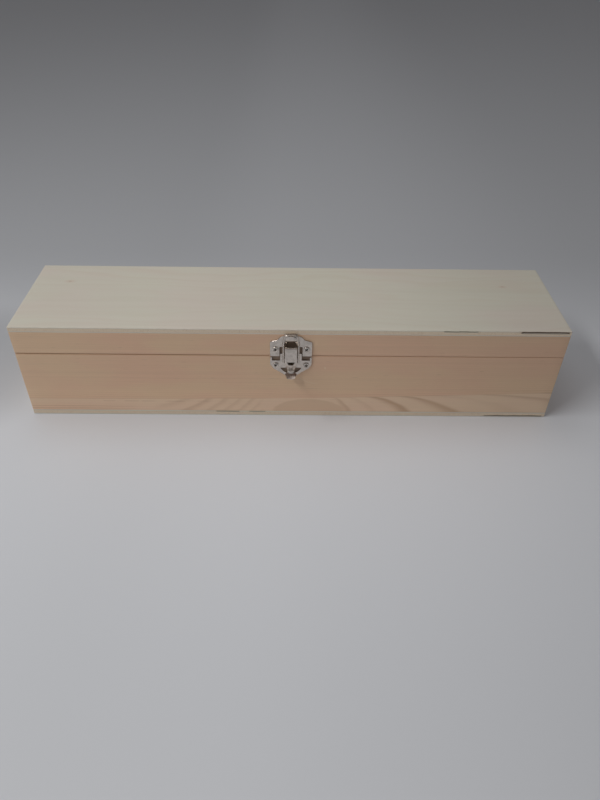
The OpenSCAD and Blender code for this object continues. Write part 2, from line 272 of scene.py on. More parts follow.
def both_sides(half):
    """Half an outline, as (x, y, radius), and its mirror image."""
    return half + [(-x, y, r) for x, y, r in reversed(half)]


def circle(centre, radius, count=32):
    """Points round a circle."""
    t = np.arange(count) * 2 * math.pi / count
    return np.array(centre) + radius * np.stack([np.cos(t), np.sin(t)], -1)


def loop_area(loop):
    """Signed area of a closed outline, by the shoelace formula."""
    nxt = np.roll(loop, -1, 0)
    return float(np.sum(loop[:, 0] * nxt[:, 1] - nxt[:, 0] * loop[:, 1]) / 2)


def inward(loop):
    """Unit normals to the left of a closed outline, from the chord between each point's neighbours."""
    chord = np.roll(loop, -1, 0) - np.roll(loop, 1, 0)
    chord /= np.maximum(np.linalg.norm(chord, axis=1), 1e-9)[:, None]
    return np.stack([-chord[:, 1], chord[:, 0]], -1)


def pressed(loops, thickness, place, edge=0.22, back_edge=0.06):
    """Sheet metal cut to an outline with holes, with rounded front edges.

    Each loop is repeated in rings that draw in by inset while the height climbs from 0 to the thickness,
    along a quarter circle of the edge radius. Both ends are filled flat. place maps (a, b, height) to XYZ.
    """
    loops = [np.asarray(l, float) for l in loops]
    loops = [l if (loop_area(l) > 0) == (k == 0) else l[::-1] for k, l in enumerate(loops)]
    t = np.linspace(0, math.pi / 2, 5)
    inset = np.concatenate([[back_edge, 0], edge * (1 - np.cos(t))])
    height = np.concatenate([[0, back_edge], thickness - edge + edge * np.sin(t)])
    points, sides, firsts, lasts, start = [], [], [], [], 0
    for loop in loops:
        ring = loop[None] + inset[:, None, None] * inward(loop)[None]
        lifted = np.concatenate([ring, np.broadcast_to(height[:, None, None], (*ring.shape[:2], 1))], -1)
        sides.append(grid_faces(len(inset), len(loop), closed_columns=True) + start)
        firsts.append(np.arange(len(loop)) + start)
        lasts.append(np.arange(len(loop)) + start + (len(inset) - 1) * len(loop))
        points.append(lifted.reshape(-1, 3))
        start += lifted.shape[0] * lifted.shape[1]
    points = np.concatenate(points)
    order = np.concatenate(lasts)
    filled = np.array(tessellate_polygon([[Vector((*points[k][:2], 0)) for k in last] for last in lasts]))
    area = points[order[filled]]
    turn = np.cross(area[:, 1, :2] - area[:, 0, :2], area[:, 2, :2] - area[:, 0, :2])
    filled = np.where(turn[:, None] > 0, filled, filled[:, ::-1])
    front, back = order[filled], np.concatenate(firsts)[filled][:, ::-1]
    return place(points), (np.concatenate(sides), True), (front, False), (back, False)


def on_front(points):
    """(x, height above the rim, distance off the box) to XYZ."""
    return np.stack([points[..., 0], FRONT_Y - points[..., 2], RIM_Z + points[..., 1]], -1)


def on_side(x0):
    """(distance off the box, height above the rim, x) to XYZ, from the plane x0."""
    return lambda p: np.stack([x0 + p[..., 2], FRONT_Y - p[..., 0], RIM_Z + p[..., 1]], -1)


def lathe(radius, along, count=40):
    """Surface of revolution about Z: rings of the given radii at the given heights.

    The first and last radius are small, and their rings are filled.
    """
    t = np.arange(count) * 2 * math.pi / count
    ring = np.stack([np.cos(t), np.sin(t)], -1)
    points = np.concatenate([
        np.asarray(radius)[:, None, None] * ring[None],
        np.broadcast_to(np.asarray(along, float)[:, None, None], (len(radius), count, 1)),
    ], -1)
    ends = np.array([np.arange(count)[::-1], (len(radius) - 1) * count + np.arange(count)])
    return points, (grid_faces(len(radius), count, closed_columns=True), True), (ends, False)


def tube(path, radius, count=16, end_round=0.35):
    """Round wire along a path: rings square to the path, whose ends draw in along a quarter circle."""
    path = np.asarray(path, float)
    ahead = np.gradient(path, axis=0)
    ahead /= np.linalg.norm(ahead, axis=1)[:, None]
    plane = np.cross(path[-1] - path[0], path[len(path) // 2] - path[0])
    plane /= np.linalg.norm(plane)
    side = np.cross(plane, ahead)
    turn = np.radians([20, 50, 90])
    inset = end_round * (1 - np.cos(turn))[:, None]
    start, finish = path[0] + ahead[0] * inset, path[-1] - ahead[-1] * inset[::-1]
    size = radius - end_round + end_round * np.sin(turn)
    centres = np.concatenate([start, path[1:-1], finish])
    radii = np.concatenate([size, np.full(len(path) - 2, radius), size[::-1]])
    sides = np.concatenate([side[[0] * len(turn)], side[1:-1], side[[-1] * len(turn)]])
    t = np.arange(count) * 2 * math.pi / count
    points = centres[:, None] + radii[:, None, None] * (
        np.cos(t)[None, :, None] * sides[:, None] + np.sin(t)[None, :, None] * plane[None, None])
    rows = len(centres)
    ends = np.array([np.arange(count)[::-1], (rows - 1) * count + np.arange(count)])
    return points, (grid_faces(rows, count, closed_columns=True), True), (ends, False)


def bezier(a, b, c, d, count):
    """Cubic curve through a control polygon of four points."""
    t = np.linspace(0, 1, count)[:, None]
    a, b, c, d = (np.array(p, float) for p in (a, b, c, d))
    return (1 - t) ** 3 * a + 3 * (1 - t) ** 2 * t * b + 3 * (1 - t) * t**2 * c + t**3 * d


def sheet_normals(grid):
    """Unit normals of a grid of points, from the cross product of its two differences."""
    n = np.cross(np.gradient(grid, axis=0), np.gradient(grid, axis=1))
    return n / np.maximum(np.linalg.norm(n, axis=-1), 1e-9)[..., None]


def thick_sheet(grid, thickness, keep=None):
    """Bent sheet metal: the grid is its middle surface, and keep says which of its cells are metal.

    Both faces stand half the thickness off along the normals. Wherever a kept cell meets a missing one or
    the border, a wall joins the two faces.
    """
    rows, columns = grid.shape[:2]
    if keep is None:
        keep = np.ones((rows - 1, columns - 1), bool)
    off = sheet_normals(grid) * thickness / 2
    points = np.concatenate([(grid + off).reshape(-1, 3), (grid - off).reshape(-1, 3)])
    count = rows * columns
    cells = grid_faces(rows, columns)[keep.ravel()]
    edges = np.concatenate([cells[:, [k, (k + 1) % 4]] for k in range(4)])
    present = set(map(tuple, edges.tolist()))
    border = np.array([e for e in edges.tolist() if (e[1], e[0]) not in present])
    walls = np.stack([border[:, 1], border[:, 0], border[:, 0] + count, border[:, 1] + count], -1)
    return points, (cells, True), (cells[:, ::-1] + count, True), (walls, True)


# Materials: shader maths as Python expressions


class Line:
    """A link that carries a number, a colour or a vector. Arithmetic on numbers adds Math nodes."""

    def __init__(self, maker, socket):
        self.maker, self.socket = maker, socket

    def math(self, operation, *values):
        return self.maker.node("ShaderNodeMath", {"operation": operation}, dict(enumerate(values)))

    def __add__(self, other):
        return self.math("ADD", self, other)

    def __mul__(self, other):
        return self.math("MULTIPLY", self, other)

    def __sub__(self, other):
        return self.math("SUBTRACT", self, other)

    def __rsub__(self, other):
        return self.math("SUBTRACT", other, self)

    def __truediv__(self, other):
        return self.math("DIVIDE", self, other)

    def __pow__(self, other):
        return self.math("POWER", self, other)

    def __abs__(self):
        return self.math("ABSOLUTE", self)

    __radd__, __rmul__ = __add__, __mul__

    def at_most(self, other):
        return self.math("MINIMUM", self, other)

    def at_least(self, other):
        return self.math("MAXIMUM", self, other)

    def fraction(self):
        return self.math("FRACT", self)

    def whole(self):
        return self.math("FLOOR", self)

    def logarithm(self, base):
        return self.math("LOGARITHM", self, base)

    def ramp(self, low, high, to_low=0.0, to_high=1.0, kind="SMOOTHSTEP"):
        """Rises from to_low to to_high as the value goes from low to high, and stays there beyond."""
        values = {0: self, 1: low, 2: high, 3: to_low, 4: to_high}
        return self.maker.node("ShaderNodeMapRange", {"interpolation_type": kind}, values)

    def near(self, centre, reach):
        """1 at the centre, falling to 0 at the reach on both sides."""
        return abs(self - centre).ramp(0, reach, 1, 0)


class Pattern:
    """A node tree, with one method that adds any node and a few that add those used often."""

    def __init__(self, tree):
        self.tree = tree

    def node(self, kind, settings, values, output=0):
        """Adds a node: its settings first, then the values or links of its sockets."""
        made = self.tree.nodes.new(kind)
        for key, value in settings.items():
            setattr(made, key, value)
        for key, value in values.items():
            if isinstance(value, Line):
                self.tree.links.new(value.socket, made.inputs[key])
            else:
                made.inputs[key].default_value = value
        return Line(self, made.outputs[output])

    def split(self, vector):
        """The three parts of a vector."""
        whole = self.node("ShaderNodeSeparateXYZ", {}, {0: vector})
        return [Line(self, output) for output in whole.socket.node.outputs]

    def vector(self, x, y, z):
        return self.node("ShaderNodeCombineXYZ", {}, {0: x, 1: y, 2: z})

    def mix(self, share, a, b, blend="MIX"):
        """Mixes two colours; a share of 1 gives the second."""
        a, b = ((*c, 1) if isinstance(c, tuple) and len(c) == 3 else c for c in (a, b))
        settings = {"data_type": "RGBA", "blend_type": blend, "clamp_factor": True}
        return self.node("ShaderNodeMix", settings, {0: share, 6: a, 7: b}, 2)

    def shade(self, colour, amount):
        """A colour times a number."""
        grey = self.node("ShaderNodeCombineColor", {}, {0: amount, 1: amount, 2: amount})
        return self.mix(1.0, colour, grey, "MULTIPLY")


class Finish(Pattern):
    """A material with one Principled shader, and the nodes that its patterns need."""

    def __init__(self, name, **constants):
        self.material = bpy.data.materials.new(name)
        self.material.use_nodes = True
        super().__init__(self.material.node_tree)
        self.shader = self.tree.nodes["Principled BSDF"]
        for socket, value in constants.items():
            self.shader.inputs[socket.replace("_", " ")].default_value = value
        place = self.node("ShaderNodeTexCoord", {}, {}, "Object")
        self.place = self.node("ShaderNodeVectorMath", {"operation": "SCALE"}, {0: place, "Scale": TO_MM})
        self.x, self.y, self.z = self.split(self.place)

    def scaled(self, sx, sy, sz, shift=(0, 0, 0)):
        """The place, moved and then stretched along each axis."""
        settings = {"operation": "MULTIPLY_ADD"}
        moved = tuple(scale * move for scale, move in zip((sx, sy, sz), shift))
        return self.node("ShaderNodeVectorMath", settings, {0: self.place, 1: (sx, sy, sz), 2: moved})

    def noise(self, place, detail=2.0, roughness=0.5):
        """Noise from 0 to 1 with one cell per unit of the place."""
        values = {"Vector": place, "Scale": 1.0, "Detail": detail, "Roughness": roughness}
        return self.node("ShaderNodeTexNoise", {}, values)

    def random(self, number):
        """A random number from 0 to 1 for each whole number."""
        return self.node("ShaderNodeTexWhiteNoise", {"noise_dimensions": "1D"}, {"W": number})

    def facing(self, axis):
        """How far the surface faces along an axis, from 0 to 1."""
        return abs(self.split(self.node("ShaderNodeNewGeometry", {}, {}, "Normal"))[axis])

    def finish(self, colour, roughness, height=None, relief=0.05):
        """Links the patterns to the shader. The height goes through a bump of that many millimetres."""
        self.tree.links.new(colour.socket, self.shader.inputs["Base Color"])
        if isinstance(roughness, Line):
            self.tree.links.new(roughness.socket, self.shader.inputs["Roughness"])
        if height is not None:
            values = {"Height": height, "Distance": relief / TO_MM, "Strength": 1.0}
            bump = self.node("ShaderNodeBump", {}, values)
            self.tree.links.new(bump.socket, self.shader.inputs["Normal"])
        return self.material


def tuple_of(colour):
    return tuple(colour[:3])


def growth_rings(f, field, gap, sharp=0.9):
    """Late wood from 0 to 1: within each ring it darkens slowly and ends sharply, and rings differ."""
    count = field / gap
    ring = count.fraction()
    strength = f.random(count.whole()).ramp(0, 1, 0.35, 1.0, "LINEAR")
    return ring.ramp(0.25, sharp) * ring.ramp(sharp, 1.0, 1, 0) * strength


def pine_body(f, dark, rings, along, tone_seed, pale=0.0):
    """Colour, roughness and height of pine; along is the axis of the grain.

    dark is how much late wood shows in the colour, rings is how much of it is sunk, and pale is how much
    the wood is bleached.
    """
    c = colours()
    stretch = [1.0, 1.0, 1.0]
    stretch[along] = 0.02
    fibre = f.noise(f.scaled(*(3.2 * s for s in stretch)), 3, 0.6)
    streak = f.noise(f.scaled(*(0.55 * s if k != along else 0.0022 for k, s in enumerate(stretch))), 2, 0.55)
    broad = (0.011 if k == along else 0.035 for k in range(3))
    blotch = f.noise(f.scaled(*broad, shift=(tone_seed * 30, tone_seed * 20, tone_seed * 40)), 2, 0.5)
    dash = f.noise(f.scaled(*(0.09 if k == along else 1.9 for k in range(3))), 1, 0.5).ramp(0.72, 0.82)
    colour = f.mix(blotch.ramp(0.38, 0.62), tuple_of(c.pine), tuple_of(c.pine_pink))
    colour = f.mix(pale, colour, (0.82, 0.66, 0.50))
    colour = f.mix(dark, colour, tuple_of(c.late))
    light = 0.93 + 0.10 * fibre + 0.09 * (streak - 0.5) - 0.22 * dash
    end = f.facing(along).ramp(0.6, 0.9)
    colour = f.shade(colour, light * (1 - 0.22 * end))
    height = fibre * 0.6 - rings * 0.5 - dash * 0.8
    return colour, 0.52 + 0.16 * fibre, height


# Parts of the front that lie in the shade of the latch's windows: half width, lowest and highest point
LATCH_WINDOWS = ((14.4, -3.4, 0.2), (8.6, 0.2, 9), (3.6, 9, 14), (7.9, -15.4, -10.4))


# The front: its two fields of grain


def front_pine():
    """Pine of the front board and the lid's front rail, sawn from one board so that the grain runs on.

    Above a line that climbs to the right the rings stand square to the face and show as straight fine
    lines. Below it they are cut at a slant. On the left their lines climb to the right, z = a + climb(x),
    at a slope that grows from 0.1 to 1.2. On the right they are arcs that leave the line at x = start and
    fall as z = line - ((x - start) / (0.22 start - 3.7))^2. Between them lies an oval.
    """
    s = sizes()
    f = Finish("front_pine", Roughness=0.6)
    wave = f.noise(f.scaled(0.012, 0.05, 0.06), 2, 0.5)
    fine_wave = f.noise(f.scaled(0.05, 0.2, 0.25), 2, 0.5)
    x = f.x + 4 * (fine_wave - 0.5)
    heart = 14.7
    line = 18.3 + 0.0225 * f.x + 0.00006 * f.x * f.x + 0.8 * (fine_wave - 0.5)
    upper = (f.z - line).ramp(-0.5, 0.7)
    on_left = x.ramp(heart - 3, heart + 3, 1, 0)
    west = (x + 115).at_least(0)
    climb = 0.1 * west + 0.00675 * west * west
    slanted = growth_rings(f, f.z - climb + 300 + 3 * (wave - 0.5), 11.5, 0.75)
    slanted = slanted * x.ramp(-118, -100) * x.ramp(-30, -20, 1, 0)
    drop = (line + 0.5 - f.z - 2.2 * (wave - 0.5)).at_least(0) ** 0.5
    start = (f.x + 10 * (wave - 0.5) + 3.7 * drop) / (0.22 * drop + 1)
    arcs = growth_rings(f, (start / 30).at_least(0.5).logarithm(1.32) + 0.3, s.ring_gap / 2.3, 0.75) ** 2
    straight = f.z + 0.25 * (f.y - FRONT_Y) + 3.5 * (wave - 0.5) + 0.004 * f.x
    fine = growth_rings(f, straight, s.fine_gap, 0.75)
    far_left = x.ramp(-150, -105, 1, 0) * f.z.ramp(9, 12, 1, 0)
    arcs = arcs * (1 - on_left) * f.x.ramp(30, 42, 0, 0.62)
    low = slanted * on_left * 0.30 + arcs + fine * far_left * 0.42
    high = fine * (0.05 + 0.13 * (f.z - line).ramp(1, 9, 1, 0))
    near_line = (f.z - line).near(0.2, 0.6) * 0.16 + (f.z - line).near(2.6, 0.5) * 0.08
    dashes = f.z.near(14.2, 0.6) * f.noise(f.scaled(0.11, 0.3, 0.3), 1, 0.5).ramp(0.48, 0.56)
    dashes = dashes * f.x.ramp(-165, -155) * f.x.ramp(-75, -60, 1, 0)
    rings = low * (1 - upper) + high * upper + near_line + dashes * 0.30
    colour, roughness, height = pine_body(f, rings, rings, 0, 11.0, (1 - upper) * 0.50)
    oval = ((x - heart) / 30) ** 2 + ((f.z - 4.5) / 13.3) ** 2
    colour = f.mix(oval.ramp(0.8, 1.05, 0.42, 0), colour, (0.60, 0.41, 0.26))
    red = f.x.ramp(-205, -90, 1, 0) * f.z.ramp(3, 26, 1, 0)
    colour = f.mix(red * 0.30, colour, (0.66, 0.39, 0.25))
    # Painted shade: the front grows darker towards the right end. It is also made lighter towards the
    # bottom.
    colour = f.shade(colour, f.z.ramp(4, 45, 1.10, 1.0) * f.x.ramp(30, 215, 1, 0.87))
    outside = f.y.ramp(FRONT_Y + 0.6, FRONT_Y + 1.6, 1, 0)
    # Painted shade: a dark line along the seam between lid and box, strongest at the left end and fading out
    # towards the right.
    seam = f.z.near((RIM_Z + LID_Z) / 2, 1.6) * f.x.ramp(-120, 200, 0.50, 0.0) * outside
    colour = f.mix(seam, colour, (0.42, 0.22, 0.12))
    shaded = 0.0
    for half, bottom, top in LATCH_WINDOWS:
        across = abs(f.x).ramp(half, half + 0.5, 1, 0)
        up = f.z.ramp(RIM_Z + bottom - 0.5, RIM_Z + bottom) * f.z.ramp(RIM_Z + top, RIM_Z + top + 0.5, 1, 0)
        shaded = across * up + shaded
    colour = f.mix(shaded.at_most(0.74) * outside, colour, (0.085, 0.070, 0.058))
    arc = ((f.x - 20.5) ** 2 + (f.z - 53) ** 2) ** 0.5
    scratch = arc.near(19.5, 0.55) * f.x.ramp(4, 8) * f.x.ramp(18, 24, 1, 0) * f.z.ramp(44, 42)
    spot = (((f.x - 26.5) / 0.7) ** 2 + ((f.z - 48.7) / 1.4) ** 2).ramp(0.3, 1.0, 1, 0)
    colour = f.mix((scratch * 0.4 + spot * 0.5) * outside, colour, (0.86, 0.72, 0.56))
    return f.finish(colour, roughness, height)


def plain_pine(name, along, pith, seed):
    """Pine with rings round a pith that runs along the grain outside the board and wanders a little.

    along is 0 for X and 1 for Y. pith is its place on the other two axes, in millimetres.
    """
    f = Finish(name, Roughness=0.6)
    run, side = ((f.x, f.y), (f.y, f.x))[along]
    wave = f.noise(f.vector(run * 0.012 + seed, side * 0.02, f.z * 0.02), 2, 0.5)
    fine_wave = f.noise(f.vector(run * 0.06 + seed, side * 0.15, f.z * 0.15), 2, 0.5)
    a = side - pith[0] + 9 * (wave - 0.5) + 0.035 * run
    b = f.z - pith[1] + 14 * (wave - 0.5) + 1.6 * (fine_wave - 0.5)
    rings = growth_rings(f, (a * a + b * b) ** 0.5, 3.1, 0.82)
    colour, roughness, height = pine_body(f, rings * 0.3, rings, along, seed)
    return f.finish(colour, roughness, height)


def plywood(name, low, high, knots=()):
    """Three ply panel: face veneers along X, and a cross ply between two thin dark glue lines on the edges.

    low and high are the panel's corners, and knots is a list of (x, y, radius) of pin knots on the faces.
    """
    s, c = sizes(), colours()
    low_z, high_z, front_y = low[2], high[2], low[1]
    f = Finish(name, Roughness=0.6)
    fibre = f.noise(f.scaled(0.05, 3.0, 3.0), 3, 0.6)
    streak = f.noise(f.scaled(0.0035, 0.16, 0.2), 3, 0.55)
    blotch = f.noise(f.scaled(0.010, 0.022, 0.02), 2, 0.5)
    warp = f.noise(f.scaled(0.006, 0.03, 0.03), 2, 0.5)
    plain_sawn = growth_rings(f, f.y * 0.45 + 26 * (warp - 0.5) + 0.012 * f.x, 4.2, 0.8)
    face = f.mix(blotch.ramp(0.35, 0.65), tuple_of(c.veneer), (0.69, 0.635, 0.56))
    face = f.mix(plain_sawn * 0.10, face, (0.55, 0.40, 0.26))
    face = f.shade(face, 0.955 + 0.05 * fibre + 0.06 * (streak - 0.5))
    for x, y, radius in knots:
        away = (((f.x - x) / radius) ** 2 + ((f.y - y) / (0.55 * radius)) ** 2) ** 0.5
        face = f.mix(away.ramp(0.25, 1.6, 0.28, 0), face, (0.58, 0.40, 0.31))
        face = f.mix(away.ramp(0.05, 0.5, 0.35, 0), face, (0.38, 0.22, 0.14))
    # Painted shade: the faces darken towards both ends, most towards the right.
    face = f.shade(face, f.x.ramp(-215, -60, 0.93, 1) * f.x.ramp(40, 215, 1, 0.86))
    pores = f.noise(f.scaled(2.2, 2.2, 0.9), 2, 0.6)
    cross_ply = f.mix(pores.ramp(0.5, 0.75), tuple_of(c.core), (0.66, 0.49, 0.33))
    in_core = f.z.ramp(low_z + s.veneer - 0.08, low_z + s.veneer + 0.08) * f.z.ramp(
        high_z - s.veneer - 0.08, high_z - s.veneer + 0.08, 1, 0)
    on_edge = 1 - f.facing(2).ramp(0.5, 0.8)
    glue = (f.z.near(low_z + s.veneer, 0.22) + f.z.near(high_z - s.veneer, 0.22)).at_most(1)
    edge = f.mix(in_core * 0.8, f.shade(face, 1.18), cross_ply)
    edge = f.mix(glue * (0.12 + 0.3 * streak), edge, (0.40, 0.27, 0.17))
    # Painted shade: the front edge is drawn dark where it lies recessed behind the front, at the gaps of the
    # cross ply.
    behind = f.y - front_y
    gap = behind.ramp(0.25, 0.9) * behind.ramp(3, 3.5, 1, 0) * f.facing(1).ramp(0.3, 0.6)
    edge = f.mix(gap * 0.85, edge, (0.13, 0.085, 0.055))
    colour = f.mix(on_edge, face, edge)
    return f.finish(colour, 0.50 + 0.15 * fibre, fibre * 0.5 - pores * on_edge)


def plated(name, colour, roughness):
    """Bright plating with faint stains, rub marks and a slight orange peel, with painted shade in marked
    recesses.
    """
    f = Finish(name, Metallic=1.0, Roughness=roughness)
    stain = f.noise(f.scaled(0.35, 0.35, 0.35), 3, 0.6)
    rub = f.noise(f.scaled(9.0, 1.2, 1.2), 2, 0.6)
    peel = f.noise(f.scaled(1.6, 1.6, 1.6), 2, 0.5)
    tone = f.mix(stain.ramp(0.35, 0.7), tuple_of(colour), tuple(0.80 * c for c in colour[:3]))
    mark = f.node("ShaderNodeAttribute", {"attribute_name": "mark"}, {}, "Fac")
    # Painted shade: the marked recesses, such as the screws' cross recesses, are drawn almost black.
    tone = f.mix(mark.ramp(0.1, 0.7, 0, 0.94), tone, (0.035, 0.024, 0.018))
    uneven = roughness + 0.12 * (stain - 0.5) + 0.06 * (rub - 0.5)
    return f.finish(tone, uneven, peel * 0.7 + rub * 0.3, 0.012)


# Fitting pieces to the frame


def fit(piece, body, slot, material, *nodes):
    """Gives a piece its finish, its body and the nodes that it stands for."""
    piece.data.materials.append(material)
    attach(piece, body)
    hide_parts(*nodes)
    return piece


def bevelled(piece, width=0.12, segments=2):
    """Rounds the crisp edges of a piece with a live bevel."""
    bevel = piece.modifiers.new("edge", "BEVEL")
    bevel.width, bevel.segments, bevel.limit_method = width / TO_MM, segments, "ANGLE"
    bevel.angle_limit = math.radians(50)
    return piece


def pulled_in(low, high, bands, depth=1.8, ends=2.5):
    """Relief that draws the front edge of a panel in, where its cross ply has gaps.

    bands is a list of (x0, x1, z0, z1): the edge is recessed by the depth inside each, with soft ends.
    """
    def step(v, a, b):
        t = np.clip((v - a) / (b - a), 0, 1)
        return t * t * (3 - 2 * t)

    def relief(points):
        x, z = points[..., 0], points[..., 2]
        amount = np.zeros(x.shape)
        for x0, x1, z0, z1 in bands:
            wave = 0.25 * np.sin(x * 0.45) + 0.15 * np.sin(x * 1.3)
            inside = step(x, x0 - ends, x0 + ends) * (1 - step(x, x1 - ends, x1 + ends))
            top = z1 + wave * 0.4
            inside = inside * step(z, z0 - 0.15, z0 + 0.1) * (1 - step(z, top - 0.1, top + 0.15))
            amount = np.maximum(amount, inside)
        front = (points[..., 1] < low[1] + 0.8) & (z > low[2] + 0.3) & (z < high[2] - 0.25)
        moved = points.copy()
        moved[..., 1] += np.where(front, depth * amount, 0)
        return moved

    return relief


def seam_relief(z_edge, side, base):
    """Relief that rounds the front edge beside the seam more at the left end than at the right.

    Points within a reach of the edge are drawn back by reach - sqrt(reach^2 - (reach - d)^2).
    """
    def relief(points):
        x, y, z = points[..., 0], points[..., 1], points[..., 2]
        reach = base * np.interp(x, [-HALF_LENGTH, 40, HALF_LENGTH], [1.0, 0.75, 0.3])
        away = np.clip(reach - side * (z - z_edge), 0, reach)
        back = reach - np.sqrt(np.maximum(reach**2 - away**2, 0))
        moved = points.copy()
        moved[..., 1] += np.where(y < FRONT_Y + 0.8, 0.55 * back, 0)
        return moved

    return relief


# Wooden pieces


def wooden(name, body, slot, material, edge=None, step=(6.0, 3.0, 3.0), relief=None, swap=False):
    """One board or panel in the place of its node."""
    low, high = node_box(name)
    edge = edge or sizes().edge
    if swap:
        shell = turned(*slab(low[[1, 0, 2]], high[[1, 0, 2]], edge, step, relief))
    else:
        shell = slab(low, high, edge, step, relief)
    piece = Shape().add(*shell).build(name + "_wood")
    return fit(piece, body, slot, material, name)


class BOX_OT_panels(bpy.types.Operator):
    """Makes the two plywood panels, with gaps in the cross ply along their front edges"""

    bl_idname = "bottle_box.panels"
    bl_label = "Plywood Panels"

    def execute(self, context):
        fine = (1.5, 3.0, 0.2)
        low, high = node_box("lid_top_panel")
        top = plywood("top_plywood", low, high, [(-181.5, 21.0, 4.2), (173.8, 18.5, 3.4)])
        gaps = [(173, 208, high[2] - 2.3, high[2] - 0.4), (115, 139, high[2] - 1.3, high[2] - 0.6)]
        wooden("lid_top_panel", "lid", "plywood", top, 0.3, fine, pulled_in(low, high, gaps))
        low, high = node_box("bottom_panel")
        bottom = plywood("bottom_plywood", low, high, [(60, -10, 3.0)])
        gaps = [(-60, -43, high[2] - 1.2, high[2] - 0.3), (-33, -22, high[2] - 1.1, high[2] - 0.3),
                (161, 207, low[2] + 0.3, low[2] + 1.4)]
        wooden("bottom_panel", "box", "plywood", bottom, 0.3, fine, pulled_in(low, high, gaps))
        return {"FINISHED"}


class BOX_OT_walls(bpy.types.Operator):
    """Makes the four boards of the box"""

    bl_idname = "bottle_box.walls"
    bl_label = "Box Walls"

    def execute(self, context):
        front = front_pine()
        seam = seam_relief(RIM_Z, -1, sizes().seam_edge)
        wooden("front_board", "box", "pine", front, 0.3, (5.0, 2.0, 0.35), seam)
        wooden("back_board", "box", "pine", plain_pine("back_pine", 0, (75, 18), 3.0))
        wooden("left_end_board", "box", "pine", plain_pine("left_pine", 1, (-240, 28), 5.0), swap=True)
        wooden("right_end_board", "box", "pine", plain_pine("right_pine", 1, (236, 44), 8.0), swap=True)
        return {"FINISHED"}


class BOX_OT_lid_rails(bpy.types.Operator):
    """Makes the four rails of the lid, with the grain of the boards below them"""

    bl_idname = "bottle_box.lid_rails"
    bl_label = "Lid Rails"

    def execute(self, context):
        finish = bpy.data.materials
        seam = seam_relief(LID_Z, 1, sizes().seam_edge)
        wooden("lid_front_rail", "lid", "pine", finish["front_pine"], 0.3, (5.0, 2.0, 0.35), seam)
        wooden("lid_back_rail", "lid", "pine", finish["back_pine"])
        wooden("lid_left_rail", "lid", "pine", finish["left_pine"], swap=True)
        wooden("lid_right_rail", "lid", "pine", finish["right_pine"], swap=True)
        return {"FINISHED"}


# Latch. Heights are above the rim and distances are off the front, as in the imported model

PLATE = 1.2
HALF_PLATE = float(node_box("latch_hook_plate")[1][0])
HOOK_Z0, BASE_Z1 = 0.4, -0.4
THUMB_RADIUS, THUMB_Z = 8.8, -6.8
BASE_BOTTOM = float(node_box("latch_base_plate")[0][2]) - RIM_Z
BRIDGE_HALF, SLOT_BOTTOM, HORN = 8.3, -3.4, 1.5
SCREW_X, SCREW_UP, SCREW_DOWN = 11.8, 6.9, -7.8
PIVOT = np.array([FRONT_Y - JOINTS["latch_lever"][1], JOINTS["latch_lever"][2] - RIM_Z])
BAIL_PIVOT = np.array([FRONT_Y - JOINTS["bail_pivot"][1], JOINTS["bail_pivot"][2] - RIM_Z])
BAR = np.array([2.4, 20.0])
WIRE = 0.8
LEVER_HALF, LEVER_SHEET, LEVER_MID = 4.6, 0.8, 6.5
BAR_HALF, NECK = 4.6, 8.4


class BOX_OT_hook_plate(bpy.types.Operator):
    """Makes the lid's half of the latch: a plate with a window, and a domed hook turned up out of it"""

    bl_idname = "bottle_box.hook_plate"
    bl_label = "Hook Plate"

    def execute(self, context):
        top = BAR[1] + WIRE
        right = [
            (3.2, 13.9, 2.1), (3.6, 10.8, 0.3), (4.9, 10.6, 0.4), (4.9, 9, 0.3), (8.7, 9, 0.6),
            (8.7, HOOK_Z0, 0.4), (HALF_PLATE, HOOK_Z0, 0.5), (HALF_PLATE, 13.6, 1.4), (10.2, 15.3, 0.9),
            (8.4, 17.7, 1.8), (5.2, top - 1.6, 1.2), (4.2, top, 1.2),
        ]
        shape = Shape().add(*pressed([rounded(both_sides(right))], PLATE, on_front, back_edge=0.35))
        face = BAR[0] + WIRE + 0.6
        curl = bezier([PLATE / 2, 14.2], [PLATE + 2.6, 14.5], [face, 16.5], [face, top - 0.6], 17)
        u = np.linspace(0, 1, 17)
        half = np.interp(u, [0, 0.35, 0.62, 0.85, 0.95, 1], [3.2, 3.3, 4.1, 4.1, 3.5, 2.4])
        v = np.linspace(-1, 1, 17)[None, :]
        sag = 0.85 * np.sin(u * math.pi / 2)[:, None] * v**4
        rise = curl[:, 1:] - 0.5 * u[:, None] ** 3 * v**2
        grid = np.stack([half[:, None] * v, rise, curl[:, :1] - sag], -1)
        shape.add(*thick_sheet(on_front(grid), 0.8))
        piece = bevelled(shape.build("latch_hook_plate_nickel"), 0.2, 3)
        fit(piece, "lid", "nickel", bpy.data.materials["plated_nickel"], "latch_hook_plate")
        return {"FINISHED"}


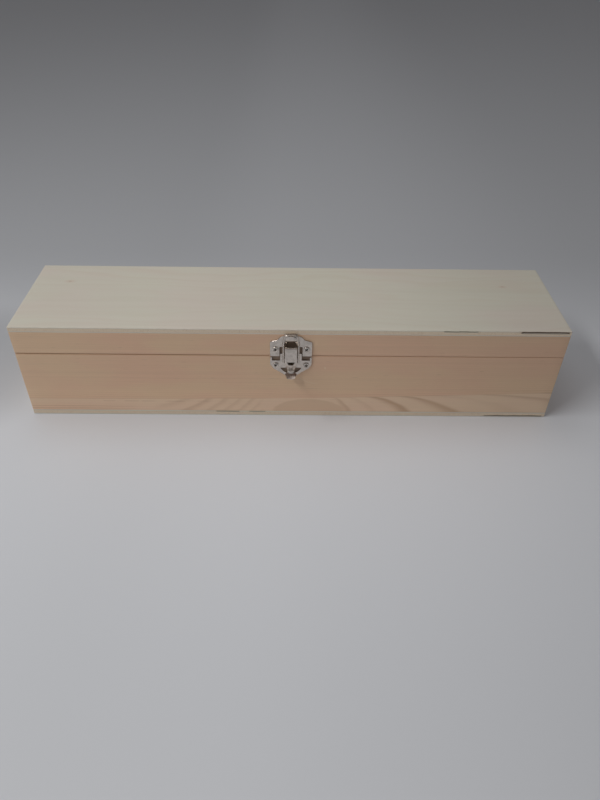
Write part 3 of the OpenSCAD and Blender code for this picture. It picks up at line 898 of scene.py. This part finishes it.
class BOX_OT_base_plate(bpy.types.Operator):
    """Makes the box's half of the latch: a plate with a tongue, two ears and a window for the thumb"""

    bl_idname = "bottle_box.base_plate"
    bl_label = "Base Plate"

    def execute(self, context):
        low = BASE_BOTTOM
        horn = HALF_PLATE - HORN
        right = [
            (BRIDGE_HALF, 3, 0.8), (BRIDGE_HALF, SLOT_BOTTOM, 0.4), (horn, SLOT_BOTTOM, 0.4),
            (horn, BASE_Z1, 0.3), (HALF_PLATE, BASE_Z1, 0.3), (HALF_PLATE, low + 10.2, 2.5),
            (HALF_PLATE - 2.7, low + 6, 2), (HALF_PLATE / 2 + 0.5, low + 2.9, 1.5), (5.2, low + 0.2, 1),
            (2, low, 1),
        ]
        outline = rounded(both_sides(right))
        t = np.radians(np.linspace(-24.2, -155.8, 25))
        window = [0, THUMB_Z] + THUMB_RADIUS * np.stack([np.cos(t), np.sin(t)], -1)
        shape = Shape().add(*pressed([outline, window], PLATE, on_front, back_edge=0.35))
        end = np.radians(np.linspace(-37, 217, 21))
        ear = np.concatenate([
            [[PLATE - 0.2, 3.0], [PLATE - 0.2, -2.0]],
            PIVOT + 1.7 * np.stack([np.cos(end), np.sin(end)], -1),
        ])
        for x in (2.3, -3.3):
            shape.add(*pressed([ear], 1.0, on_side(x), 0.12, 0.12))
        piece = shape.build("latch_base_plate_nickel")
        fit(piece, "box", "nickel", bpy.data.materials["plated_nickel"], "latch_base_plate")
        return {"FINISHED"}


class BOX_OT_lever(bpy.types.Operator):
    """Makes the lever: a bent strip with a slot, a scooped middle and a flared toe, and two cheeks"""

    bl_idname = "bottle_box.lever"
    bl_label = "Latch Lever"

    def execute(self, context):
        heel, toe = np.array([PIVOT[0] + 0.1, -13.0]), np.array([LEVER_MID + 1.4, -16.2])
        flat_end = np.array([LEVER_MID, -1.2])
        bend = 0.5
        turn = np.radians(np.linspace(95, 0, 8))
        bent = [LEVER_MID - bend, PIVOT[1] + 1.5] + bend * np.stack([np.cos(turn), np.sin(turn)], -1)
        back = bent[:1] + np.array([[-1.2, -0.3]])
        straight = np.linspace(bent[-1], flat_end, 10)[1:]
        scoop = bezier(flat_end, flat_end + [0, -5], heel + [-0.6, 3.4], heel, 21)[1:]
        flare = bezier(heel, heel + [0.35, -1.6], toe + [-1.6, 0.9], toe, 11)[1:]
        path = np.concatenate([back, bent, straight, scoop, flare])
        z = path[:, 1]
        at = [0.9, 1.9, 4.2, 5.0, 8, 10.6, 12.4, 13.2, 13.9, 14.5, 17]
        wide = [4.6, 4.45, 3.75, 3.6, 3.2, 2.5, 2.3, 3.4, 4.5, 4.3, 2.3]
        half = np.where(z > -0.9, LEVER_HALF, np.interp(-z, at, wide))
        slot = np.minimum(np.interp(-z, [1.4, 4.0], [3.0, 1.8]), 0.8 * half)
        side = np.linspace(0, 1, 6)
        half, slot, beside = half[:, None], slot[:, None], (half - slot)[:, None]
        columns = np.concatenate([
            beside * side[:-1] - half, slot * np.linspace(-1, 1, 7)[:-1], beside * side + slot,
        ], 1)
        dome = 0.9 * np.interp(-z, [4, 7, 12, 13.4], [0, 1, 1, 0.2])[:, None] * (columns / half) ** 2
        grid = np.stack([columns, np.broadcast_to(z[:, None], columns.shape), path[:, :1] - dome], -1)
        middle_z = (z[:-1] + z[1:]) / 2
        open_rows = (middle_z < -1.45) & (middle_z > -4.0)
        keep = np.ones((len(z) - 1, columns.shape[1] - 1), bool)
        keep[np.ix_(open_rows, np.arange(5, 11))] = False
        shape = Shape().add(*thick_sheet(on_front(grid), LEVER_SHEET, keep))
        inner = LEVER_MID - LEVER_SHEET / 2 + 0.05
        cheek = rounded([
            (PIVOT[0] - 1.7, PIVOT[1] + 1.4, 1.6), (PIVOT[0] + 1.5, PIVOT[1] + 1.8, 1.0),
            (inner, PIVOT[1] - 0.4, 0.3), (inner, -1.4, 0.5),
            (BAIL_PIVOT[0] + 1.7, BAIL_PIVOT[1] - 1.4, 1.3), (BAIL_PIVOT[0] - 1.6, BAIL_PIVOT[1] - 1.5, 1.4),
            (BAIL_PIVOT[0] - 1.5, BAIL_PIVOT[1] + 2.6, 1.5),
        ])
        holes = [circle(PIVOT, 0.95, 20), circle(BAIL_PIVOT, WIRE + 0.05, 20)]
        for x in (LEVER_HALF - 1.0, -LEVER_HALF):
            shape.add(*pressed([cheek, *holes], 1.0, on_side(x), 0.15, 0.15))
        piece = bevelled(shape.build("latch_lever_nickel"), 0.14)
        fit(piece, "lever", "nickel", bpy.data.materials["plated_nickel"], "latch_lever")
        return {"FINISHED"}


class BOX_OT_bail(bpy.types.Operator):
    """Makes the wire bail, with round bends, from one end in the lever over the bar to the other end"""

    bl_idname = "bottle_box.bail"
    bl_label = "Latch Bail"

    def execute(self, context):
        rise = BAR - BAIL_PIVOT
        length = float(np.linalg.norm(rise))
        arm = LEVER_HALF + 0.3 + WIRE
        right = [(LEVER_HALF - 1, 0, 1), (arm, 0, 1), (arm, length - NECK, 5), (BAR_HALF, length, 2)]
        line = rounded(both_sides(right), 9, closed=False)
        off, up = (BAIL_PIVOT + line[:, 1:] * rise / length).T
        wire = tube(on_front(np.stack([line[:, 0], up, off], -1)), WIRE, 18)
        piece = Shape().add(*wire).build("latch_bail_nickel")
        fit(piece, "bail", "nickel", bpy.data.materials["plated_nickel"], "latch_bail")
        return {"FINISHED"}


def cross(points, turn, arm, slot):
    """How deep a screw's cross recess is at each point, from 0 to 1.

    u and v are distances from the two arms' middle lines. The depth fades at the arms' sides and ends.
    """
    c, s = math.cos(math.radians(turn)), math.sin(math.radians(turn))
    x, y = points[..., 0], points[..., 1]
    u, v = np.abs(c * x + s * y), np.abs(c * y - s * x)
    near, far = np.minimum(u, v), np.maximum(u, v)
    return np.clip((slot / 2 + 0.06 - near) / 0.12, 0, 1) * np.clip((arm - far) / (0.45 * arm), 0, 1)


def screw_head(radius, along, start, count, turn, arm, slot, depth):
    """Turned screw whose rings from start on have a cross recess, and the recess's share at each point."""
    points, *faces = lathe(radius, along, count)
    sunk = cross(points, turn, arm, slot)
    sunk[:start] = 0
    points[..., 2] -= depth * sunk
    return points, sunk.ravel(), faces


def pan_head(shank_radius, depth, turn):
    """Screw with a flat topped round head over its shank, along +Z from the seat.

    The head is a superellipse: (r / head)^3 + (h / dome)^3 = 1 above the rim.
    """
    head, rim, dome = 2.4, 0.25, 0.65
    outer = head * np.sin(np.radians([90, 82, 74, 66, 58, 50])) ** (2 / 3)
    r = np.concatenate([outer, np.linspace(outer[-1], 0.04, 30)[1:]])
    radius = np.concatenate([[0.1, shank_radius, shank_radius, head - 0.2, head - 0.03], r])
    above = rim + dome * (1 - (r / head) ** 3) ** (1 / 3)
    along = np.concatenate([[-depth, 0.6 - depth, 0, 0, 0.08], above])
    return screw_head(radius, along, len(radius) - len(r), 96, turn, arm=1.45, slot=0.78, depth=0.85)


def flat_head(turn):
    """Countersunk screw with a cross recess, along +Z with its rim at the top of a 1 mm leaf."""
    radius = np.concatenate([[0.1, 1.0, 1.0, 1.9, 1.86, 1.8], np.linspace(1.7, 0.05, 24)])
    along = np.concatenate([[-5.0, -4.2, 0.1, 0.92, 0.97, 0.99], np.full(24, 1.0)])
    return screw_head(radius, along, 6, 72, turn, arm=1.3, slot=0.5, depth=0.6)


def round_pin(radius, low, high, edge):
    """Pin along +Z from low to high, whose ends are rounded along a quarter circle of the edge radius."""
    turn = np.radians([15, 45, 90])
    size, inset = radius - edge + edge * np.sin(turn), edge * (1 - np.cos(turn))
    return lathe(np.concatenate([size, size[::-1]]), np.concatenate([low + inset, high - inset[::-1]]), 32)


class BOX_OT_latch_screws(bpy.types.Operator):
    """Makes the four round headed screws of the latch, each turned its own way, and the lever's pin"""

    bl_idname = "bottle_box.latch_screws"
    bl_label = "Latch Screws and Pin"

    def execute(self, context):
        steel = bpy.data.materials["plated_steel"]
        for node, body, z, turns in (("latch_hook_screws", "lid", SCREW_UP, (12, 40)),
                                     ("latch_base_screws", "box", SCREW_DOWN, (28, 5))):
            shape = Shape()
            for side, turn in zip((-1, 1), turns):
                points, sunk, faces = pan_head(1.1, 5.0 + PLATE, turn)
                placed = points + np.array([side * SCREW_X, z, PLATE])
                shape.add(on_front(placed), *faces, mark=sunk)
            fit(shape.build(node + "_steel", 40), body, "screw_steel", steel, node)
        half = LEVER_HALF + 0.1
        points, *faces = round_pin(radius=0.9, low=-half, high=half, edge=0.25)
        placed = np.stack([points[..., 2], points[..., 1] + PIVOT[1], points[..., 0] + PIVOT[0]], -1)
        pin = Shape().add(on_front(placed), *faces).build("latch_lever_pin_steel", 40)
        fit(pin, "box", "screw_steel", steel, "latch_lever_pin")
        return {"FINISHED"}


class BOX_OT_hinges(bpy.types.Operator):
    """Makes the two butt hinges: leaves with rolled knuckles, pins and countersunk screws"""

    bl_idname = "bottle_box.hinges"
    bl_label = "Hinges"

    def execute(self, context):
        nickel, steel = bpy.data.materials["plated_nickel"], bpy.data.materials["plated_steel"]
        hinge_y, hinge_z = JOINTS["lid_hinge"][1:]
        sheet, length, reach, knuckle, gap = 1.0, 26.0, 11.0, 2.3, 0.06
        half, clear, screw_in = length / 2, 2.6, 4.0
        inside, outside = length / 6 - gap, length / 6 + gap
        for side_name, sx in (("left", -1), ("right", 1)):
            low, high = node_box(f"hinge_{side_name}_pin")
            middle = (low[0] + high[0]) / 2
            for part, up, body in (("box", -1, "box"), ("lid", 1, "lid")):
                if up > 0:
                    spans = [(-inside, inside)]
                    notch = [(-half, clear, 0.3), (-inside, clear, 0.2), (-inside, 1, 0.1)]
                else:
                    spans = [(-half, -outside), (outside, half)]
                    notch = [(-half, 1, 0.1), (-outside, 1, 0.1), (-outside, clear, 0.2)]
                corners = both_sides([(-half, reach, 1.6), *notch])
                holes = [circle((s * (half - screw_in), reach - screw_in), 1.95, 28) for s in (-1, 1)]

                def on_back(p, up=up, middle=middle):
                    return np.stack([middle + p[..., 0], BACK_Y + p[..., 2], hinge_z + up * p[..., 1]], -1)

                shape = Shape().add(*pressed([rounded(corners), *holes], sheet, on_back))
                wrap = np.radians(np.linspace(180, -128, 34))
                mid = knuckle - sheet / 2
                curl = np.concatenate([[[BACK_Y + sheet / 2, 2.4], [BACK_Y + sheet / 2 + 0.05, 1.2]],
                                       np.stack([hinge_y + mid * np.cos(wrap), -mid * np.sin(wrap)], -1)])
                ahead = np.gradient(curl, axis=0)
                ahead /= np.linalg.norm(ahead, axis=1)[:, None]
                off = np.stack([-ahead[:, 1], ahead[:, 0]], -1) * sheet / 2
                strip = np.concatenate([curl + off, (curl - off)[::-1]])
                for x0, x1 in spans:
                    def rolled(p, x0=x0, up=up, middle=middle):
                        return np.stack([middle + x0 + p[..., 2], p[..., 0], hinge_z + up * p[..., 1]], -1)

                    shape.add(*pressed([strip], x1 - x0, rolled, 0.12, 0.12))
                fit(shape.build(f"hinge_{side_name}_{part}_leaf_nickel"), body, "nickel", nickel,
                    f"hinge_{side_name}_{part}_leaf")
                screws = Shape()
                for s in (-1, 1):
                    points, sunk, faces = flat_head(17 * s + 25 * up + 9 * sx)
                    placed = points + np.array([s * (half - screw_in), reach - screw_in, 0])
                    screws.add(on_back(placed), *faces, mark=sunk)
                fit(screws.build(f"hinge_{side_name}_{part}_screws_steel", 40), body, "screw_steel", steel,
                    f"hinge_{side_name}_{part}_screws")
            points, *faces = round_pin(radius=1.1, low=low[0], high=high[0], edge=0.35)
            placed = np.stack([points[..., 2], points[..., 0] + hinge_y, points[..., 1] + hinge_z], -1)
            pin = Shape().add(placed, *faces).build(f"hinge_{side_name}_pin_steel", 40)
            fit(pin, "box", "screw_steel", steel, f"hinge_{side_name}_pin")
        return {"FINISHED"}


class BOX_OT_metals(bpy.types.Operator):
    """Makes the two plated finishes"""

    bl_idname = "bottle_box.metals"
    bl_label = "Plated Finishes"

    def execute(self, context):
        c = colours()
        plated("plated_nickel", c.nickel, 0.22)
        plated("plated_steel", c.screw, 0.27)
        return {"FINISHED"}


# Stage


class BOX_OT_stage(bpy.types.Operator):
    """Makes the pale floor, the soft lights, the surroundings and the camera"""

    bl_idname = "bottle_box.stage"
    bl_label = "Stage and Camera"

    def execute(self, context):
        scene = context.scene
        mesh = bpy.data.meshes.new("floor")
        t = np.arange(64) * 2 * math.pi / 64
        mesh.from_pydata(np.stack([6 * np.cos(t), 6 * np.sin(t), np.zeros(64)], -1), [], [list(range(64))])
        floor = bpy.data.objects.new("floor", mesh)
        scene.collection.objects.link(floor)
        f = Finish("floor", Roughness=0.55)
        pale = tuple_of(colours().floor)
        # Painted light and shade on the floor: it darkens towards the back, and a little towards the front,
        # the left and the right. A painted shadow lies in a round patch left of the box.
        beside = ((f.x + 290) / 110) ** 2 + ((f.y - 20) / 110) ** 2
        light = f.y.ramp(-330, -90, 0.88, 1.0) * f.y.ramp(-90, 260, 1, 0.68) * f.x.ramp(-150, 0, 0.92, 1)
        tone = f.shade(pale, light * f.x.ramp(60, 400, 1, 0.88) * beside.ramp(0, 1, 0.74, 1))
        mesh.materials.append(f.finish(tone, 0.55))
        for name, place, long, wide, power in (
            ("left_light", (-0.57, -0.38, 0.9), 0.70, 0.12, 4.5),
            ("back_light", (-0.35, 0.45, 1.6), 0.7, 0.7, 2.4),
            ("right_light", (0.45, -0.1, 1.9), 0.8, 0.8, 1.6),
        ):
            light = bpy.data.lights.new(name, "AREA")
            light.shape, light.size, light.size_y, light.energy = "RECTANGLE", long, wide, power
            light.color = (1.0, 0.985, 0.96)
            lamp = bpy.data.objects.new(name, light)
            lamp.location = place
            lamp.rotation_euler = Vector((-place[0], 0, -place[2])).to_track_quat("-Z", "Y").to_euler()
            scene.collection.objects.link(lamp)
        world = bpy.data.worlds.new("surroundings")
        world.use_nodes = True
        scene.world = world
        sky = Pattern(world.node_tree)
        direction = sky.node("ShaderNodeTexCoord", {}, {}, "Generated")
        values = {0: direction, 1: (0, -0.57, 0.82)}
        towards = sky.node("ShaderNodeVectorMath", {"operation": "DOT_PRODUCT"}, values, 1)
        side, depth, _ = sky.split(direction)
        amount = side.ramp(-1, 1, 0.46, 0.18, "LINEAR") * depth.ramp(0.4, 0.8, 1, 0.4)
        room = sky.mix(towards.ramp(0.62, 0.92), (0.97, 0.985, 1.0), (0.32, 0.21, 0.175))
        shade = sky.shade(room, amount)
        sky.tree.links.new(shade.socket, world.node_tree.nodes["Background"].inputs["Color"])
        scene.view_settings.view_transform = "Standard"
        scene.camera = photo_camera()
        scene.collection.objects.link(scene.camera)
        return {"FINISHED"}


def photo_camera():
    """Camera solved from the box's corners in the 600 by 800 photograph."""
    place = Vector((0.261, -449.97, 348.07)) / TO_MM
    yaw, pitch, roll, focal_px, tall_px = 0.018090, 0.689844, 0.018597, 644.675, 800
    ahead = Vector((math.sin(yaw) * math.cos(pitch), math.cos(yaw) * math.cos(pitch), -math.sin(pitch)))
    right = Vector((math.cos(yaw), -math.sin(yaw), 0))
    up = right.cross(ahead)
    level = Matrix((right, up, -ahead)).transposed()
    data = bpy.data.cameras.new("photo_camera")
    data.sensor_width = 36
    data.lens = focal_px * data.sensor_width / tall_px
    data.clip_start = 0.01
    camera = bpy.data.objects.new("photo_camera", data)
    camera.matrix_world = Matrix.Translation(place) @ (level @ Matrix.Rotation(roll, 3, "Z")).to_4x4()
    return camera


class BOX_PT_panel(bpy.types.Panel):
    """Lists the sizes, the colours and the pieces"""

    bl_idname = "BOX_PT_panel"
    bl_label = "Bottle Box"
    bl_space_type = "VIEW_3D"
    bl_region_type = "UI"
    bl_category = "Bottle Box"

    def draw(self, context):
        for group in (sizes(), colours()):
            for name in group.__annotations__:
                self.layout.prop(group, name)
        for operator in OPERATORS:
            self.layout.operator(operator.bl_idname)


OPERATORS = (
    BOX_OT_stage, BOX_OT_metals, BOX_OT_panels, BOX_OT_walls, BOX_OT_lid_rails, BOX_OT_hook_plate,
    BOX_OT_base_plate, BOX_OT_lever, BOX_OT_bail, BOX_OT_latch_screws, BOX_OT_hinges,
)
CLASSES = (BoxSizes, BoxColours, *OPERATORS, BOX_PT_panel)


def register():
    for cls in CLASSES:
        bpy.utils.register_class(cls)
    bpy.types.Scene.bottle_box_sizes = PointerProperty(type=BoxSizes)
    bpy.types.Scene.bottle_box_colours = PointerProperty(type=BoxColours)


def unregister():
    del bpy.types.Scene.bottle_box_colours
    del bpy.types.Scene.bottle_box_sizes
    for cls in reversed(CLASSES):
        bpy.utils.unregister_class(cls)


def main():
    register()
    for operator in OPERATORS:
        group, name = operator.bl_idname.split(".")
        getattr(getattr(bpy.ops, group), name)()


if __name__ == "__main__":
    main()
